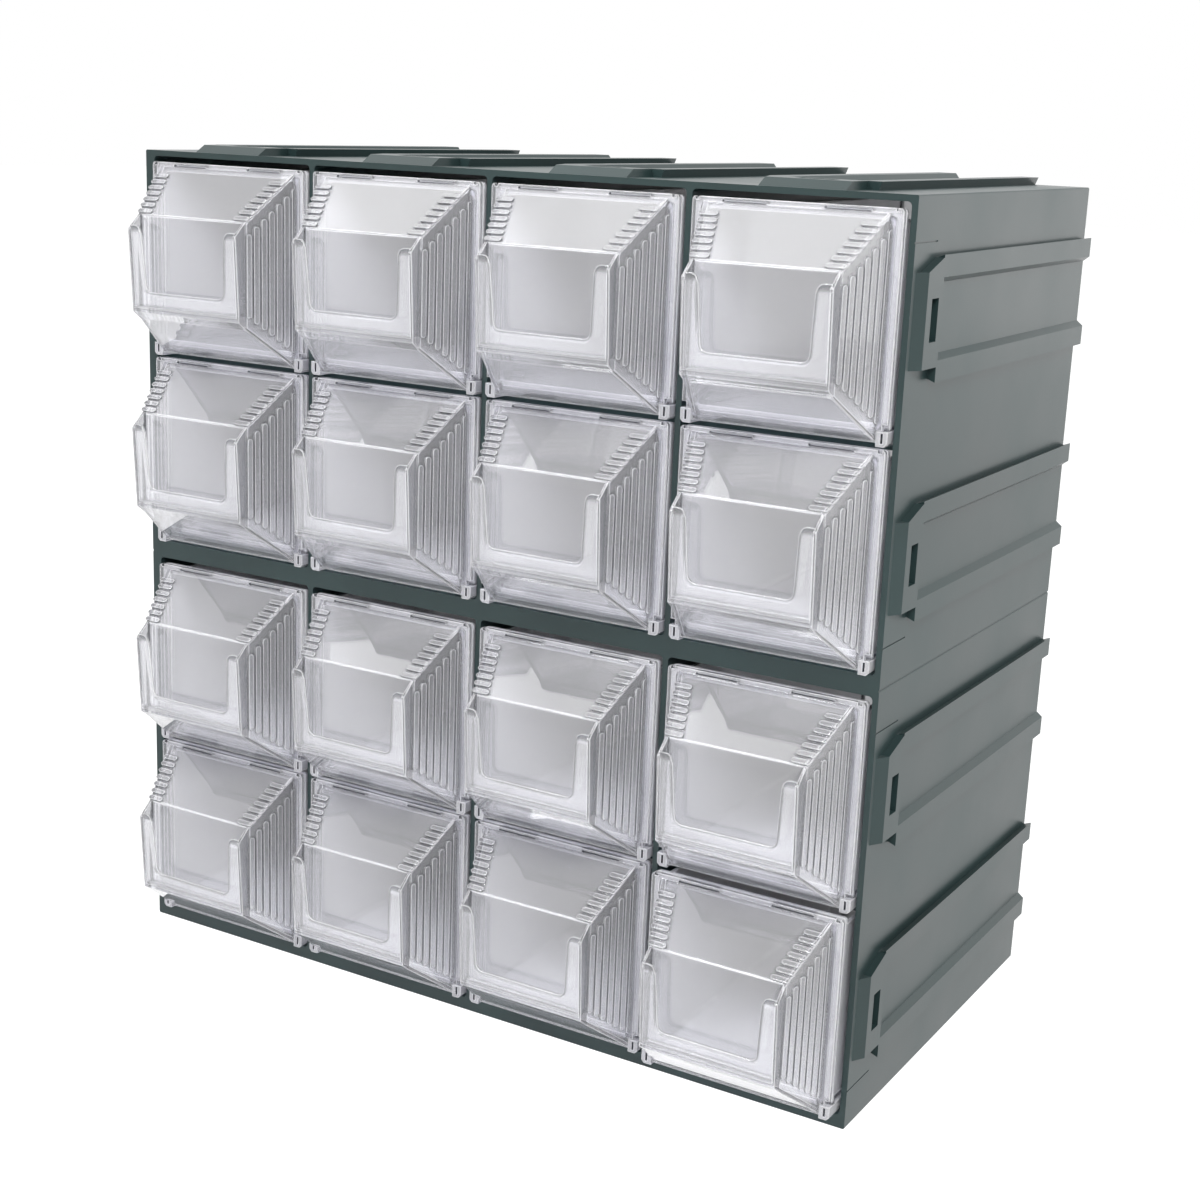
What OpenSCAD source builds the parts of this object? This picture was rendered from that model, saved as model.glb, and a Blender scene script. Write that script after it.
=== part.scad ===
// Parts bin cabinet: two moulded frames, stacked and locked together by sliding dovetails,
// with sixteen clear bins. Each bin is an open tray with a snapped-on hopper front.
// Origin: centre of the lower frame's underside. +Z is up and the bins pull out along -Y.

/* [Frame] */
// Width of one frame
frame_w = 300; // [240:5:400]
// Height of one frame
frame_h = 150; // [125:5:200]
// Depth of one frame, front edge to back edge
frame_d = 165; // [120:5:240]
// Bins side by side
columns = 4; // [2:1:4]
// Rows of bins in one frame
rows = 2; // [1:1:2]
// Thickness of the left wall, which holds the side grooves
left_wall = 4; // [3.6:0.1:6]
// Thickness of the right wall, which carries the side tongues
right_wall = 2; // [1.6:0.1:4]
// Thickness of the top, which carries the upper tongues
top_wall = 2; // [1.6:0.1:4]
// Thickness of the floor, which holds the lower grooves
floor_wall = 4.65; // [3.6:0.05:6]
// Thickness of the upright dividers between the columns
divider = 2; // [1.4:0.1:4]
// Thickness of the shelf between the rows
shelf = 1.6; // [1.2:0.1:3]
// How far the shelf's front edge stands back behind the bins
shelf_set_back = 6; // [2:0.5:15]
// Radius in the corners of each cell
cell_r = 1.5; // [0.5:0.1:3]
// Thickness of the rim round each cell at the back, where a bin stops
stop_rim = 2; // [1.5:0.1:4]
// How far that rim reaches into the cell
stop_reach = 4; // [3:0.5:8]
// Chamfer along the frame's long outer edges
edge_chamfer = 0.4; // [0.2:0.1:1]
// Distance of the fine side lines from the frame's top and bottom
side_line_at = 13.7; // [8:0.1:20]
// Length of the fine side lines, from the front edge
side_line_len = 18; // [8:1:30]

/* [Dovetails] */
// Width over the two rails of a tongue, at their outer corners
tongue_w = 38.3; // [30:0.1:46]
// How far a tongue stands out of its wall
tongue_t = 2.6; // [1.6:0.1:3]
// Undercut of a rail's outer side
undercut = 1; // [0.4:0.1:1.5]
// Width of the top of one rail
rail_w = 6.7; // [4:0.1:9]
// Height of the web between the two rails
web_t = 0.4; // [0.3:0.1:1]
// Width of the head at the front end of a tongue
head_w = 28.9; // [24:0.1:30]
// Where the head starts, from the frame's front edge
head_start = 2; // [1:0.1:6]
// Length of the ramp on to the head
ramp = 4.5; // [2:0.1:8]
// Where the rails start, from the frame's front edge
rail_start = 18.2; // [16:0.1:24]
// Width of the window in the head
window_w = 13; // [8:0.5:16]
// Length of the window in the head
window_len = 5.4; // [3:0.1:8]
// How far the tongues lie off the middle of their share of the wall
tongue_shift = 0.75; // [0:0.05:2]
// Clearance of a tongue in its groove
slide_gap = 0.2; // [0.1:0.05:0.4]

/* [Bin tray] */
// Wall of the tray and the front
bin_wall = 1.4; // [1:0.1:2]
// Thickness of the tray's floor
tray_floor = 1.6; // [1.2:0.1:3]
// Gap between the tray's side and the cell's side
tray_side_gap = 2.4; // [1.8:0.1:4]
// Height of the tray's underside over the cell's floor
tray_lift = 4; // [2.5:0.1:6]
// Gap between the tray's rim and the shelf above it
rim_gap = 2.4; // [1:0.1:6]
// Gap between the tray's back and the stop rim when the bin is shut
back_gap = 0.3; // [0.2:0.05:1]
// Radius along the tray's lower outer edges
tray_r = 2.4; // [1.5:0.1:4]
// Thickness of the tray's front wall
tray_front = 1.5; // [1.2:0.1:2.5]
// Height of the sill under the opening in the tray's front wall
sill = 1.4; // [1:0.1:4]
// Radius in the corners of that opening
opening_r = 2.2; // [1:0.1:4]
// Width of one runner under the tray
runner_w = 3.7; // [2.5:0.1:5]
// Height of the top of the runners over the cell's floor
runner_top = 5; // [4.2:0.1:7]
// Gap between a runner and the cell's floor
runner_lift = 0.3; // [0.2:0.05:0.6]
// Gap between a runner and the cell's side
runner_side_gap = 1; // [0.5:0.1:2]
// Clearance where the tray and its front snap together
snap_gap = 0.15; // [0.1:0.05:0.3]

/* [Bin front] */
// Gap between the top of the flange and the runners of the bin above
flange_gap = 0.9; // [0.6:0.1:2]
// Gap between the flange's edge and the cell's side
flange_side_gap = 1.3; // [0.8:0.1:2.5]
// Height of the flange's lower edge over the cell's floor
flange_lift = 1.5; // [0.5:0.1:3]
// Thickness of the flange
flange_t = 1.6; // [1.2:0.1:2.5]
// Gap between the flange and the frame's front edge
flange_back_gap = 0.6; // [0.4:0.1:1.5]
// Width of the recess between the flange and the tray's front wall
recess_w = 1.1; // [0.6:0.1:2]
// Depth of that recess
recess_depth = 2.5; // [1:0.1:3]
// How far the hopper stands out of the frame, at the upper corners of its face
hopper_out = 26; // [22:0.1:30]
// How far the face's lower edge stands back behind its upper corners
face_lean = 1.8; // [0:0.1:3]
// Length of the hopper's nose, from the face back to the fold in the sides
nose = 5.8; // [5:0.1:8]
// Margin between the hopper's foot and the flange's side edge
foot_margin = 3.9; // [3:0.1:6]
// How much narrower the hopper is at its front, on each side
side_taper = 6.2; // [3:0.1:9]
// How far the cover falls from the flange to the fold at the front
cover_fall = 16; // [12:0.1:20]
// How far the underside rises from the flange to the front
under_rise = 16.5; // [10:0.1:20]
// Depth of the front panel behind the upper corners of the face
panel_depth = 5.5; // [4.5:0.1:7]
// Width of one arm of the label frame at its foot
arm_w = 6.7; // [4:0.1:8]
// How much narrower the arm is at its top
arm_taper = 1.3; // [0:0.1:2]
// Thickness of the label frame
label_frame_t = 1.3; // [1:0.1:2]
// Height of the label frame's lower bar
label_bar = 5.5; // [3:0.1:8]
// Radius in the label frame's lower corners
label_r = 2.6; // [2:0.1:4]
// Width of the bevel round the label's window
bevel_w = 1.2; // [0.4:0.1:1.5]
// Depth of that bevel
bevel_t = 0.5; // [0.2:0.1:0.9]
// Height of the lead-in bevel at the top of each arm
lead_in = 3; // [1:0.1:5]
// Height of the ledge that a label stands on
label_ledge = 1.9; // [1:0.1:4]
// Number of grip ribs on each side
side_ribs = 7; // [3:1:7]
// Distance from one side rib to the next
rib_pitch = 2.88; // [2.5:0.01:3]
// Width of a side rib
rib_w = 2.05; // [1.5:0.05:2.3]
// How far the ribs and bars stand proud
rib_t = 0.6; // [0.3:0.1:1]
// Bare height above and below the side ribs
rib_end_gap = 5; // [3:0.1:8]
// Number of bars on each side of the cover
cover_bars = 7; // [3:1:7]
// Distance from one cover bar to the next
bar_pitch = 2.95; // [2.6:0.01:3.2]
// Length of a cover bar
bar_len = 6.6; // [4:0.1:9]
// Width of a cover bar
bar_w = 1.8; // [1.2:0.1:2.2]

/* [Rest position] */
// How far the bottom right bin is left pulled out
left_open = 4; // [0:0.5:60]

/* [Hidden] */
$fn = 48;
over = 1;
frames = 2;
all_rows = frames * rows;

function tray_name(row, col) = str("tray_r", row, "c", col);
function front_name(row, col) = str("front_r", row, "c", col);

frame_colour = "#3b4c4b";
clear_colour = [0.86, 0.86, 0.88, 0.55];

// Cells, counted from the left and, in one frame, from the bottom
cell_w = (frame_w - left_wall - right_wall - (columns - 1) * divider) / columns;
head_room = 1.35;
row_pitch = (frame_h - floor_wall - top_wall - head_room) / rows;
function cell_x(col) = -frame_w / 2 + left_wall + cell_w / 2 + (col - 1) * (cell_w + divider);
function cell_z(level) = floor_wall + (level - 1) * row_pitch;
function cell_h(level) = level < rows ? row_pitch - shelf : frame_h - top_wall - cell_z(level);

// Tongues and grooves share a frame's width and height out evenly
top_pitch = frame_w / columns;
side_pitch = frame_h / rows;
rail_half = tongue_w / 2;
rail_slope = 0.8;
rail_in = rail_half - rail_w;
web_in = rail_in - (tongue_t - web_t) * rail_slope;
head_half = head_w / 2;
head_margin = 0.85;
head_flare = rail_half - head_margin;
flare_end = rail_start - 0.3;
head_flat = head_start + ramp;
head_end = rail_start + 0.8;
head_tail = head_end + 3;
window_start = head_flat + 4;

// A bin, measured from the middle of its cell's floor line and the frame's front edge
tray_half = cell_w / 2 - tray_side_gap;
tray_in = tray_half - bin_wall;
tray_back = frame_d - stop_rim - back_gap;
rim_z = row_pitch - shelf - rim_gap;
inner_floor = tray_lift + tray_floor;
runner_out = cell_w / 2 - runner_side_gap;
runner_in = runner_out - runner_w;

flange_half = cell_w / 2 - flange_side_gap;
flange_low = flange_lift;
flange_high = row_pitch + runner_lift - flange_gap;
flange_rear = -flange_back_gap;
flange_front = flange_rear - flange_t;
flange_r = 1.2;
mouth_margin = 1.3;
tray_opening = tray_in - mouth_margin;

// The tray's front wall stands behind the flange, with a recess all round between them
wall_front = flange_rear + recess_w;
wall_rear = wall_front + tray_front;
wall_inset = 0.2;
wall_half = flange_half - wall_inset;
wall_high = flange_high - wall_inset;
boss_half = flange_half - recess_depth;
boss_low = flange_low + recess_depth;
boss_high = flange_high - recess_depth;
boss_wall = 1.6;

foot_gap_high = 1.4;
foot_gap_low = 0.5;
hopper_high = flange_high - foot_gap_high;
hopper_low = flange_low + foot_gap_low;
root_y = (flange_rear + flange_front) / 2;
face_y = -hopper_out;
face_low_y = face_y + face_lean;
fold_y = face_y + nose;
panel_y = face_y + panel_depth;
foot_half = flange_half - foot_margin;
face_half = foot_half - side_taper;
cover_slope = cover_fall / (flange_front - fold_y);
under_slope = under_rise / (flange_front - face_low_y);
taper_slope = side_taper / (flange_front - fold_y);
cover_angle = atan(cover_slope);

function cover_z(y) = hopper_high - (flange_front - y) * cover_slope;
function under_z(y) = hopper_low + (flange_front - y) * under_slope;
function side_x(y) = y > fold_y ? foot_half - (flange_front - y) * taper_slope : face_half;

// The face leans forward. Heights on the label frame run up from the face's lower edge.
face_low_z = under_z(face_low_y);
face_h = norm([face_lean, cover_z(face_y) - face_low_z]);
face_angle = asin(face_lean / face_h);
pocket_wall = 1;
pocket_half = face_half - pocket_wall;
label_half = face_half - pocket_wall / 2;
label_proud = 0.3;
arm_high = face_h + 1.2;
arm_tip_r = 2.5;
lead_in_t = 0.8;
window_sill = label_ledge + label_bar;
window_low_half = face_half - arm_w;
window_high_half = window_low_half + arm_taper;

slit_gap = 1.4;
slit_low = flange_high - slit_gap;
slit_h = 0.7;
slit_w = 15;
slit_at = cell_w * 0.236;
hook_high = slit_low + slit_h - snap_gap;
hook_reach = 0.8;
hook_bevel = 0.4;

// The outline of a shape whose edges are all moved inwards, each by its own wall. The points
// run anticlockwise, and wall i belongs to the edge from point i to the next one.
function unit(v) = v / norm(v);
function inward(a, b) = let (u = unit(b - a)) [-u[1], u[0]];
function cross2(a, b) = a[0] * b[1] - a[1] * b[0];
function meet(p, u, q, v) = p + u * cross2(q - p, v) / cross2(u, v);
function inset(pts, walls) = [
    for (i = [0:len(pts) - 1])
        let (
            last = (i + len(pts) - 1) % len(pts),
            next = (i + 1) % len(pts),
            into = inward(pts[last], pts[i]) * walls[last],
            onward = inward(pts[i], pts[next]) * walls[i]
        )
        meet(pts[i] + into, pts[i] - pts[last], pts[i] + onward, pts[next] - pts[i])
];

// Extrusions that run along the depth and across the width
module along_y(y0, y1) {
    translate([0, y1, 0]) rotate([90, 0, 0]) linear_extrude(y1 - y0) children();
}

module along_x(x0, x1) {
    translate([x0, 0, 0]) rotate([90, 0, 90]) linear_extrude(x1 - x0) children();
}

// A rectangle centred on x = 0, with its four corners rounded
module rounded_box(half, low, high, r) {
    translate([-half, low + r]) square([2 * half, high - low - 2 * r]);
    translate([-half + r, low]) square([2 * (half - r), high - low]);
    for (x = [-half + r, half - r], z = [low + r, high - r])
        translate([x, z]) circle(r);
}

// A rectangle centred on x = 0, with its two lower corners rounded
module rounded_trough(half, low, high, r) {
    translate([-half, low + r]) square([2 * half, high - low - r]);
    translate([-half + r, low]) square([2 * (half - r), r + over]);
    for (x = [-half + r, half - r])
        translate([x, low + r]) circle(r);
}

// A bar with round ends, from the origin along +x
module pill(len, w) {
    translate([w / 2, -w / 2]) square([len - w, w]);
    for (x = [w / 2, len - w / 2])
        translate([x, 0]) circle(w / 2);
}

// ---- Dovetails ----

// The head's outline from above: a flare on one side and a straight flank on the other
module head_plan(gap) {
    polygon([
        [-head_half - gap, head_start - gap],
        [-head_half - gap, head_flat],
        [-head_flare - gap, flare_end - gap],
        [-head_flare - gap, head_tail],
        [head_half + gap, head_tail],
        [head_half + gap, head_start - gap]
    ]);
}

// A tongue on a level top, with its front end at y = 0 and its flared side towards -x
module tongue() {
    rear = frame_d;
    root = -0.5;
    difference() {
        intersection() {
            translate([0, 0, root]) linear_extrude(tongue_t - root) head_plan(0);
            along_x(-frame_w, frame_w)
                polygon([
                    [head_start, root],
                    [head_start, 0],
                    [head_flat, tongue_t],
                    [head_end, tongue_t],
                    [head_tail, web_t],
                    [head_tail, root]
                ]);
        }
        translate([-window_w / 2, window_start, web_t]) cube([window_w, window_len, tongue_t]);
    }
    along_y(rail_start, rear)
        polygon([
            [-rail_half + undercut, root],
            [-rail_half + undercut, 0],
            [-rail_half, tongue_t],
            [-rail_in, tongue_t],
            [-web_in, web_t],
            [web_in, web_t],
            [rail_in, tongue_t],
            [rail_half, tongue_t],
            [rail_half - undercut, 0],
            [rail_half - undercut, root]
        ]);
}

// The groove that a tongue slides into from the back: closed in front, open at the rear
module groove() {
    depth = tongue_t + slide_gap;
    translate([0, 0, -over]) linear_extrude(depth + over) head_plan(slide_gap);
    along_y(rail_start - slide_gap, frame_d + over)
        polygon([
            [-rail_half + undercut - slide_gap, -over],
            [-rail_half + undercut - slide_gap, 0],
            [-rail_half - slide_gap, depth],
            [rail_half + slide_gap, depth],
            [rail_half - undercut + slide_gap, 0],
            [rail_half - undercut + slide_gap, -over]
        ]);
}

// One child at each place along the top or underside
module each_top_place() {
    for (i = [0:columns - 1])
        translate([(i - (columns - 1) / 2) * top_pitch - tongue_shift, 0, 0]) children();
}

// One child at each place up a side, turned so that its top faces +x
module each_side_place() {
    for (i = [0:rows - 1])
        translate([0, 0, (i + 0.5) * side_pitch + tongue_shift]) rotate([0, 90, 0]) children();
}

// ---- Frames ----

module frame() {
    half = frame_w / 2;
    c = edge_chamfer;
    line_w = 0.4;
    line_t = 0.3;
    color(frame_colour) difference() {
        union() {
            along_y(0, frame_d)
                polygon([
                    [-half + c, 0], [half - c, 0], [half, c], [half, frame_h - c],
                    [half - c, frame_h], [-half + c, frame_h], [-half, frame_h - c], [-half, c]
                ]);
            translate([0, 0, frame_h]) each_top_place() tongue();
            translate([half, 0, 0]) each_side_place() tongue();
        }
        each_top_place() groove();
        translate([-half, 0, 0]) each_side_place() groove();
        for (col = [1:columns]) translate([cell_x(col), 0, 0]) column_of_cells();
        for (z = [side_line_at, frame_h - side_line_at])
            translate([half - line_t, -over, z - line_w / 2])
                cube([over, side_line_len + over, line_w]);
    }
}

// The room for one column of bins: a cell for each row, joined in front of the shelf, and
// a window through the back that leaves the stop rim standing round each cell
module column_of_cells() {
    along_y(-over, shelf_set_back)
        rounded_box(cell_w / 2, floor_wall, frame_h - top_wall, cell_r);
    for (level = [1:rows]) translate([0, 0, cell_z(level)]) {
        along_y(-over, frame_d - stop_rim) rounded_box(cell_w / 2, 0, cell_h(level), cell_r);
        along_y(0, frame_d + over)
            rounded_box(cell_w / 2 - stop_reach, stop_reach, cell_h(level) - stop_reach, cell_r);
    }
}

// ---- Bin tray ----

module tray_shape() {
    inner_r = tray_r - bin_wall / 2;
    difference() {
        union() {
            along_y(wall_front, tray_back) rounded_trough(tray_half, tray_lift, rim_z, tray_r);
            along_y(wall_front, wall_rear) rounded_box(wall_half, tray_lift, wall_high, flange_r);
        }
        along_y(wall_rear, tray_back - bin_wall)
            rounded_trough(tray_in, inner_floor, flange_high + over, inner_r);
        along_y(wall_front - over, wall_rear + over)
            rounded_box(tray_opening, inner_floor + sill, boss_high - boss_wall, opening_r);
    }
    for (side = [0, 1]) mirror([side, 0, 0]) {
        runner();
        snap_hook();
    }
}

// A runner carries one side of the tray and ends in front as a slotted lug, which the
// front's corner cut-out fits over
module runner() {
    bevel = 1;
    lug_proud = 0.2;
    lug_end = flange_front - lug_proud;
    slot = [0.7, 5, 3];
    slot_at = [1.5, 1.1];
    difference() {
        along_y(lug_end, tray_back)
            polygon([
                [runner_in, runner_lift],
                [runner_out - bevel, runner_lift],
                [runner_out, runner_lift + bevel],
                [runner_out, runner_top],
                [runner_in, runner_top]
            ]);
        translate([runner_in + slot_at[0], lug_end - over, runner_lift + slot_at[1]])
            cube(slot + [0, over, 0]);
    }
}

// A hook on the tray's front wall that holds the front by its slit
module snap_hook() {
    w = slit_w - 4 * snap_gap;
    along_x(slit_at - w / 2, slit_at + w / 2)
        polygon([
            [wall_front + tray_front / 2, hook_high],
            [flange_rear - hook_reach + hook_bevel, hook_high],
            [flange_rear - hook_reach, slit_low + snap_gap],
            [wall_front + tray_front / 2, slit_low + snap_gap]
        ]);
}

// ---- Bin front ----

// The hopper's side view back to its foot in the flange, for given upper and lower front ends
function hopper_side(high_y, low_y) = [
    [root_y, under_z(root_y)],
    [root_y, cover_z(root_y)],
    [high_y, cover_z(high_y)],
    [low_y, under_z(low_y)]
];

// The hopper's plan, anticlockwise from the left foot
hopper_plan = [
    [-side_x(root_y), root_y],
    [-face_half, fold_y],
    [-face_half, face_y],
    [face_half, face_y],
    [face_half, fold_y],
    [side_x(root_y), root_y]
];

module hopper_outside() {
    intersection() {
        along_x(-flange_half, flange_half) polygon(hopper_side(face_y, face_low_y));
        linear_extrude(flange_high) polygon(hopper_plan);
    }
}

module hopper_inside() {
    w = bin_wall;
    through = -over - flange_t;
    intersection() {
        along_x(-flange_half, flange_half)
            polygon(inset(hopper_side(panel_y, panel_y), [through, w, w, w]));
        linear_extrude(flange_high) polygon(inset(hopper_plan, [w, w, 0, w, w, through]));
    }
}

module flange() {
    difference() {
        along_y(flange_front, flange_rear) rounded_box(flange_half, flange_low, flange_high, flange_r);
        for (side = [0, 1]) mirror([side, 0, 0]) {
            corner_cut_out();
            corner_notch();
        }
    }
}

// The boss behind the flange, which rests on the tray's front wall
module boss() {
    difference() {
        along_y(flange_rear, wall_front) rounded_box(boss_half, boss_low, boss_high, flange_r);
        along_y(flange_rear - over, wall_front + over)
            rounded_box(boss_half - boss_wall, boss_low + boss_wall, boss_high - boss_wall, opening_r);
        for (side = [0, 1]) mirror([side, 0, 0]) corner_cut_out();
    }
}

// Two slits under the flange's upper edge, where the tray's hooks catch
module slits() {
    for (side = [0, 1]) mirror([side, 0, 0])
        translate([slit_at - slit_w / 2, flange_front - over, slit_low])
            cube([slit_w, flange_t + 2 * over, slit_h]);
}

// The lower corner leaves room for the tray's lug, and a notch above it for a fingernail
module corner_cut_out() {
    depth = wall_front - flange_front + 2 * over;
    lug_side = runner_in - snap_gap;
    nail_side = runner_in + 1.7;
    nail_h = 2;
    translate([lug_side, flange_front - over, -over])
        cube([cell_w, depth, runner_top + snap_gap + over]);
    translate([nail_side, flange_front - over, 0]) cube([cell_w, depth, runner_top + nail_h]);
}

// A small notch in the flange's upper edge, near its corner
module corner_notch() {
    notch_w = 1.5;
    notch_h = 1;
    translate([boss_half, flange_front - over, flange_high - notch_h])
        cube([notch_w, flange_t + 2 * over, notch_h + over]);
}

// Upright grip ribs: pills standing on the tapered side
module side_grip() {
    sink = 0.4;
    rear = flange_front + sink;
    intersection() {
        linear_extrude(flange_high)
            polygon([
                [side_x(flange_front) - sink, rear],
                [face_half - sink, fold_y],
                [face_half - sink, face_y],
                [face_half + rib_t, face_y],
                [face_half + rib_t, fold_y],
                [side_x(flange_front) + rib_t, rear]
            ]);
        along_x(face_half - over, flange_half) for (i = [0:side_ribs - 1]) side_rib(i);
    }
}

module side_rib(i) {
    y = flange_front - i * rib_pitch;
    low = under_z(y) + rib_end_gap;
    high = cover_z(y) - rib_end_gap;
    translate([y, low]) rotate(90) pill(high - low, rib_w);
}

// Short bars across the cover, in a row down each edge
module cover_grip() {
    first_bar = 1.3;
    sink = 0.4;
    translate([0, panel_y, cover_z(panel_y)]) rotate([cover_angle, 0, 0])
        for (i = [0:cover_bars - 1])
            let (s = first_bar + i * bar_pitch, edge = side_x(panel_y + s * cos(cover_angle)) + rib_t)
                translate([edge - bar_len, s, -sink]) linear_extrude(sink + rib_t) pill(bar_len, bar_w);
}

// The U-shaped frame that holds a label in front of the panel. It leans with the face.
module label_frame() {
    root = 0.5;
    translate([0, face_low_y, face_low_z]) rotate([face_angle, 0, 0]) difference() {
        along_y(-label_proud, label_frame_t - label_proud) difference() {
            translate([-label_half, label_ledge - root])
                square([2 * label_half, arm_high - label_ledge + root]);
            label_window();
        }
        translate([0, -label_proud, 0]) window_bevel();
    }
}

// The window is wider at its top. Its lower corners and the tips of the arms are rounded.
module label_window() {
    r = label_r;
    polygon([
        [-window_low_half, window_sill + r],
        [window_low_half, window_sill + r],
        [window_high_half, arm_high + over],
        [-window_high_half, arm_high + over]
    ]);
    rounded_trough(window_low_half, window_sill, window_sill + 2 * r, r);
    for (side = [0, 1]) mirror([side, 0]) translate([window_high_half, arm_high - arm_tip_r])
        difference() {
            translate([-over, 0]) square([arm_tip_r + over, arm_tip_r + over]);
            translate([arm_tip_r, 0]) circle(arm_tip_r);
        }
}

// The bevel round the window, and the longer lead-in on the tips of the arms. Each cutter is a
// wedge or cone that runs on past both faces of the bevel at the same slope.
module window_bevel() {
    rise = arm_high - window_sill - label_r;
    along_x(-window_low_half + label_r, window_low_half - label_r)
        polygon([
            [-bevel_t, window_sill + bevel_w],
            [-bevel_t, window_sill - 2 * bevel_w],
            [2 * bevel_t, window_sill + bevel_w]
        ]);
    for (side = [0, 1]) mirror([side, 0, 0]) {
        translate([window_low_half, 0, window_sill + label_r])
            rotate([0, atan(arm_taper / rise), 0]) linear_extrude(rise + over)
                polygon([[-bevel_w, -bevel_t], [2 * bevel_w, -bevel_t], [-bevel_w, 2 * bevel_t]]);
        translate([window_low_half - label_r, -bevel_t, window_sill + label_r])
            rotate([-90, 0, 0])
                cylinder(h = 3 * bevel_t, r1 = label_r + 2 * bevel_w, r2 = label_r - bevel_w);
    }
    along_x(-face_half, face_half)
        polygon([
            [-lead_in_t, arm_high + lead_in],
            [-lead_in_t, arm_high - 2 * lead_in],
            [2 * lead_in_t, arm_high + lead_in]
        ]);
}

module front_shape() {
    ledge_z = face_low_z + label_ledge;
    difference() {
        union() {
            difference() {
                hopper_outside();
                translate([-pocket_half, face_y - over, ledge_z])
                    cube([2 * pocket_half, panel_y - face_y + over, flange_high]);
            }
            flange();
            for (side = [0, 1]) mirror([side, 0, 0]) {
                side_grip();
                cover_grip();
            }
        }
        hopper_inside();
        slits();
    }
    boss();
    label_frame();
}

// ---- Places ----

// A bin stands in its cell. Rows are counted from the top of the cabinet, columns from the left.
module in_cell(row, col) {
    from_bottom = all_rows - row;
    level = from_bottom % rows + 1;
    base = floor(from_bottom / rows) * frame_h;
    out = row == all_rows && col == columns ? left_open : 0;
    translate([cell_x(col), -frame_d / 2 - out, base + cell_z(level)]) color(clear_colour) children();
}

module lower_frame() {
    translate([0, -frame_d / 2, 0]) frame();
}

module upper_frame() {
    translate([0, -frame_d / 2, frame_h]) frame();
}

module tray(row, col) {
    in_cell(row, col) tray_shape();
}

module front(row, col) {
    in_cell(row, col) front_shape();
}

lower_frame();
upper_frame();
for (row = [1:all_rows], col = [1:columns]) {
    tray(row, col);
    front(row, col);
}
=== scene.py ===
import math

import bpy
from mathutils import Matrix, Vector

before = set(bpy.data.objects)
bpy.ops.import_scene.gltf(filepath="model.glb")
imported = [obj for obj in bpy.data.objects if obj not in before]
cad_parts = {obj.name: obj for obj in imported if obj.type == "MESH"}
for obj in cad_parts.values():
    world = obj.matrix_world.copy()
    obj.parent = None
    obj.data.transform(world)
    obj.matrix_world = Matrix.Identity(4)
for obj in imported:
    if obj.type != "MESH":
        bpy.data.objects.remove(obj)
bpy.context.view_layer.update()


# ---- The two frames ----
# Each frame is taken to be one injection moulding in dark green ABS with a fine grain. It looks
# satin in the photograph: dark where it faces the eye, and pale at a low angle.

MM = 0.001


def linear(code):
    """A colour written as sRGB hex, turned to the linear values that shaders take, and opaque."""
    channels = [int(code[i : i + 2], 16) / 255 for i in (1, 3, 5)]
    straight = [c / 12.92 if c <= 0.04045 else ((c + 0.055) / 1.055) ** 2.4 for c in channels]
    return straight + [1.0]


def add(tree, kind, settings=None, links=None):
    """Adds a node. Keys are a socket's name or number, or else, in settings, a property."""
    made = tree.nodes.new("ShaderNode" + kind)
    for key, value in (settings or {}).items():
        if isinstance(key, int) or key in made.inputs:
            made.inputs[key].default_value = value
        else:
            setattr(made, key, value)
    for key, output in (links or {}).items():
        tree.links.new(made.inputs[key], output)
    return made


def new_material(name):
    """A material with an empty node tree, its output node, and the object coordinates."""
    material = bpy.data.materials.new(name)
    material.use_nodes = True
    tree = material.node_tree
    tree.nodes.clear()
    output = add(tree, "OutputMaterial")
    place = add(tree, "TexCoord").outputs["Object"]
    return material, tree, output, place


def moulded_green_abs():
    """ABS: moulded grain as a bump, and faint flow marks in the colour and the gloss."""
    dark, light = "#1F2D2D", "#253535"
    most_gloss, least_gloss = 0.28, 0.36  # as roughness
    grain_mm = 0.6  # chosen so that it shows in the render; a moulded grain is likely finer
    grain_depth_mm = 0.05
    grain_strength = 0.25
    flow_mm = 45
    flow_starts, flow_full = 0.3, 0.7  # the noise values between which a mark grows
    material, tree, output, place = new_material("moulded_green_abs")
    grain = add(
        tree,
        "TexNoise",
        {"Scale": 1 / (grain_mm * MM), "Detail": 3.0, "Roughness": 0.6},
        {"Vector": place},
    )
    flow = add(tree, "TexNoise", {"Scale": 1 / (flow_mm * MM), "Detail": 4.0}, {"Vector": place})
    marks = add(
        tree,
        "MapRange",
        {"From Min": flow_starts, "From Max": flow_full},
        {"Value": flow.outputs["Fac"]},
    )
    colour = add(
        tree,
        "Mix",
        {"data_type": "RGBA", 6: linear(dark), 7: linear(light)},
        {"Factor": marks.outputs["Result"]},
    )
    gloss = add(
        tree,
        "MapRange",
        {"To Min": most_gloss, "To Max": least_gloss},
        {"Value": marks.outputs["Result"]},
    )
    bump = add(
        tree,
        "Bump",
        {"Strength": grain_strength, "Distance": grain_depth_mm * MM},
        {"Height": grain.outputs["Fac"]},
    )
    skin = add(
        tree,
        "BsdfPrincipled",
        {"IOR": 1.54, "Specular IOR Level": 0.32},
        {
            "Base Color": colour.outputs[2],
            "Roughness": gloss.outputs["Result"],
            "Normal": bump.outputs["Normal"],
        },
    )
    tree.links.new(output.inputs["Surface"], skin.outputs["BSDF"])
    return material


def give(node, material):
    """Puts the material in every slot of a CAD node."""
    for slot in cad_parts[node].material_slots:
        slot.material = material


green_abs = moulded_green_abs()
for node in ("lower_frame", "upper_frame"):
    give(node, green_abs)


# ---- The bins ----
# A bin's tray and its hopper front are taken to be clear polystyrene mouldings. In the photograph
# their rounded rims look white, and the narrow grooves between ribs look dark.


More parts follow.
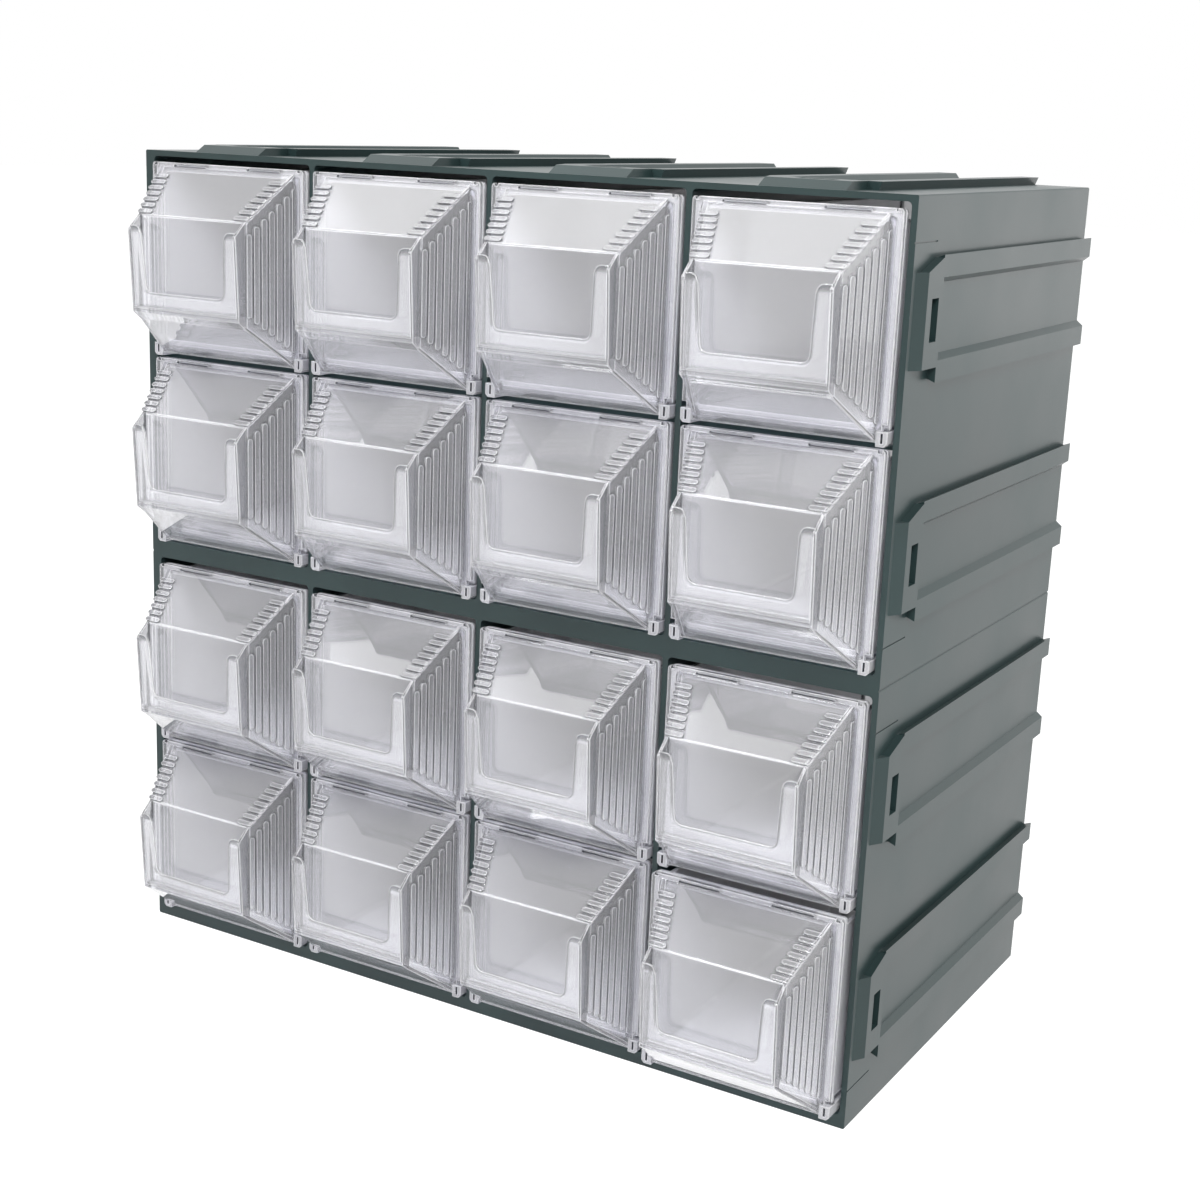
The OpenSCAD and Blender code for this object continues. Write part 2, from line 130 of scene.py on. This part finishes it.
def crystal_polystyrene(name, tone, clarity, roughness):
    """Clear polystyrene. clarity is the share of light that it passes; the rest is haze."""
    # This dark tone is painted shade, put in the grooves and creases.
    painted_groove_shade = "#262B33"
    shadow_tone = "#EDEDF0"
    # The next share makes rims milky white, as a painted highlight.
    rim_highlight_milk = 0.9  # the share of the clarity that a rim loses
    rim_mm = 0.7
    rim_starts, rim_full = 0.97, 0.86  # the cosine of the turn away from the flat surface
    groove_mm = 1.2
    groove_starts, groove_full = 0.9, 0.6  # the share of the room around that is still open
    ripple_mm = 14
    ripple_depth_mm = 0.15
    ripple_strength = 0.1
    material, tree, output, place = new_material(name)
    ripple = add(
        tree, "TexNoise", {"Scale": 1 / (ripple_mm * MM), "Detail": 1.0}, {"Vector": place}
    )
    rounded = add(tree, "Bevel", {"samples": 3, "Radius": rim_mm * MM})
    bump = add(
        tree,
        "Bump",
        {"Strength": ripple_strength, "Distance": ripple_depth_mm * MM},
        {"Height": ripple.outputs["Fac"], "Normal": rounded.outputs["Normal"]},
    )
    # A rim is where the rounded surface turns away from the flat one. A rim loses clarity there
    # and shows white haze, as a painted highlight.
    flat = add(tree, "NewGeometry")
    turned = add(
        tree,
        "VectorMath",
        {"operation": "DOT_PRODUCT"},
        {0: rounded.outputs["Normal"], 1: flat.outputs["True Normal"]},
    )
    facing = add(tree, "Math", {"operation": "ABSOLUTE"}, {0: turned.outputs["Value"]})
    rim = add(
        tree,
        "MapRange",
        {"From Min": rim_starts, "From Max": rim_full},
        {"Value": facing.outputs["Value"]},
    )
    # A groove is where other faces of the same piece shut the surface in. Grooves get a painted
    # shade there: a dark tone in the colour.
    room = add(
        tree, "AmbientOcclusion", {"samples": 3, "only_local": True, "Distance": groove_mm * MM}
    )
    groove = add(
        tree,
        "MapRange",
        {"From Min": groove_starts, "From Max": groove_full},
        {"Value": room.outputs["AO"]},
    )
    unshut = add(
        tree, "Math", {"operation": "SUBTRACT", 0: 1.0}, {1: groove.outputs["Result"]}
    )
    painted_rim_highlight = add(
        tree,
        "Math",
        {"operation": "MULTIPLY"},
        {0: rim.outputs["Result"], 1: unshut.outputs["Value"]},
    )
    # Painted highlight: open rims pass less light, so their white haze shows.
    passing = add(
        tree,
        "MapRange",
        {"To Min": clarity, "To Max": clarity * (1 - rim_highlight_milk)},
        {"Value": painted_rim_highlight.outputs["Value"]},
    )
    # Painted shade: the colour turns dark in grooves and creases.
    shade_painted_tone = add(
        tree,
        "Mix",
        {"data_type": "RGBA", 6: linear(tone), 7: linear(painted_groove_shade)},
        {"Factor": groove.outputs["Result"]},
    )
    clear = add(
        tree,
        "BsdfPrincipled",
        {"Roughness": roughness, "IOR": 1.59},
        {
            "Base Color": shade_painted_tone.outputs[2],
            "Transmission Weight": passing.outputs["Result"],
            "Normal": bump.outputs["Normal"],
        },
    )
    # Lamps shine through the thin walls, which only dim their light a little.
    shadow = add(tree, "BsdfTransparent", {"Color": linear(shadow_tone)})
    path = add(tree, "LightPath")
    mixed = add(
        tree,
        "MixShader",
        {},
        {0: path.outputs["Is Shadow Ray"], 1: clear.outputs["BSDF"], 2: shadow.outputs["BSDF"]},
    )
    tree.links.new(output.inputs["Surface"], mixed.outputs["Shader"])
    return material


# The tray has more haze than the front, because the photograph shows an even light grey inside
# the bins although the cells are dark. The amount was fitted by trial.
tray_polystyrene = crystal_polystyrene(
    "crystal_polystyrene_tray", tone="#DFDFE1", clarity=0.62, roughness=0.06
)
front_polystyrene = crystal_polystyrene(
    "crystal_polystyrene_front", tone="#F8F8FA", clarity=0.91, roughness=0.02
)
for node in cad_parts:
    if node.startswith("tray_"):
        give(node, tray_polystyrene)
    if node.startswith("front_"):
        give(node, front_polystyrene)


# ---- The studio ----
# The cabinet stands on plain white card in front of white, in soft light from large panels. The
# card and the world are white to the eye and in gloss and glass, and light the rest faintly.


def seen_directly(tree):
    """1 for a camera, glossy or transmission ray, and 0 for any other."""
    path = add(tree, "LightPath")
    seen = path.outputs["Is Camera Ray"]
    for kind in ("Is Glossy Ray", "Is Transmission Ray"):
        seen = add(
            tree, "Math", {"operation": "MAXIMUM"}, {0: seen, 1: path.outputs[kind]}
        ).outputs["Value"]
    return seen


FILL = 0.35
world = bpy.data.worlds.new("studio")
world.use_nodes = True
bpy.context.scene.world = world
sky = world.node_tree
sky.nodes.clear()
fill = add(sky, "Background", {"Color": linear("#FFFFFF"), "Strength": FILL})
white = add(sky, "Background", {"Color": linear("#FFFFFF"), "Strength": 1.0})
both = add(
    sky,
    "MixShader",
    {},
    {0: seen_directly(sky), 1: fill.outputs["Background"], 2: white.outputs["Background"]},
)
add(sky, "OutputWorld", {}, {"Surface": both.outputs["Shader"]})

FLOOR_HALF = 6.0
floor_mesh = bpy.data.meshes.new("floor")
floor_mesh.from_pydata(
    [(x * FLOOR_HALF, y * FLOOR_HALF, 0) for x, y in ((-1, -1), (1, -1), (1, 1), (-1, 1))],
    [],
    [(0, 1, 2, 3)],
)
floor = bpy.data.objects.new("floor", floor_mesh)
bpy.context.scene.collection.objects.link(floor)


def white_card():
    """Matt white card. Most of what the eye sees is its own white, and the rest its shadow."""
    card_tone = "#F2F2F2"
    own_white = 1.25
    own_share = 0.85
    material, tree, output, _ = new_material("white_card")
    card = add(tree, "BsdfDiffuse", {"Color": linear(card_tone)})
    glow = add(tree, "Emission", {"Color": linear("#FFFFFF"), "Strength": own_white})
    share = add(
        tree, "Math", {"operation": "MULTIPLY", 1: own_share}, {0: seen_directly(tree)}
    )
    mixed = add(
        tree,
        "MixShader",
        {},
        {0: share.outputs["Value"], 1: card.outputs["BSDF"], 2: glow.outputs["Emission"]},
    )
    tree.links.new(output.inputs["Surface"], mixed.outputs["Shader"])
    return material


floor_mesh.materials.append(white_card())


def light_panel(name, place, size, watts):
    """A square light panel, out of sight, that faces the middle of the cabinet."""
    middle = Vector((0, 0, 0.15))
    light = bpy.data.lights.new(name, "AREA")
    light.size = size
    light.energy = watts
    lamp = bpy.data.objects.new(name, light)
    bpy.context.scene.collection.objects.link(lamp)
    lamp.location = place
    lamp.rotation_euler = (Vector(place) - middle).to_track_quat("Z", "Y").to_euler()
    lamp.visible_camera = False


light_panel("key", place=(-0.5, -1.1, 1.35), size=0.6, watts=17)
light_panel("front", place=(0.7, -0.85, 1.1), size=0.5, watts=18)
light_panel("right", place=(1.7, 0.2, 0.9), size=0.9, watts=8)
light_panel("rear_right", place=(1.5, 1.7, 0.3), size=2.0, watts=12)
light_panel("top", place=(-0.6, 0.0, 1.8), size=1.2, watts=6.5)


# ---- The camera ----
# It stands where the photograph was taken from, which was worked out from the cabinet's edges.
# Lengths in px are those of the 1200 px square picture.

PLACE = (0.3605, -0.6215, 0.3199)
AZIMUTH = 30.60
PITCH = 14.617
ROLL = 2.266
IMAGE_PX = 1200
FOCAL_PX = 1931.4
AXIS_PX = (579.85, 614.31)
lens = bpy.data.cameras.new("camera")
lens.sensor_width = 36
lens.lens = lens.sensor_width * FOCAL_PX / IMAGE_PX
lens.shift_x = 0.5 - AXIS_PX[0] / IMAGE_PX
lens.shift_y = AXIS_PX[1] / IMAGE_PX - 0.5
lens.clip_start = 0.01
camera = bpy.data.objects.new("camera", lens)
bpy.context.scene.collection.objects.link(camera)
camera.matrix_world = (
    Matrix.Translation(PLACE)
    @ Matrix.Rotation(math.radians(AZIMUTH), 4, "Z")
    @ Matrix.Rotation(math.radians(90 - PITCH), 4, "X")
    @ Matrix.Rotation(math.radians(ROLL), 4, "Z")
)
bpy.context.scene.camera = camera
bpy.context.scene.view_settings.view_transform = "Standard"
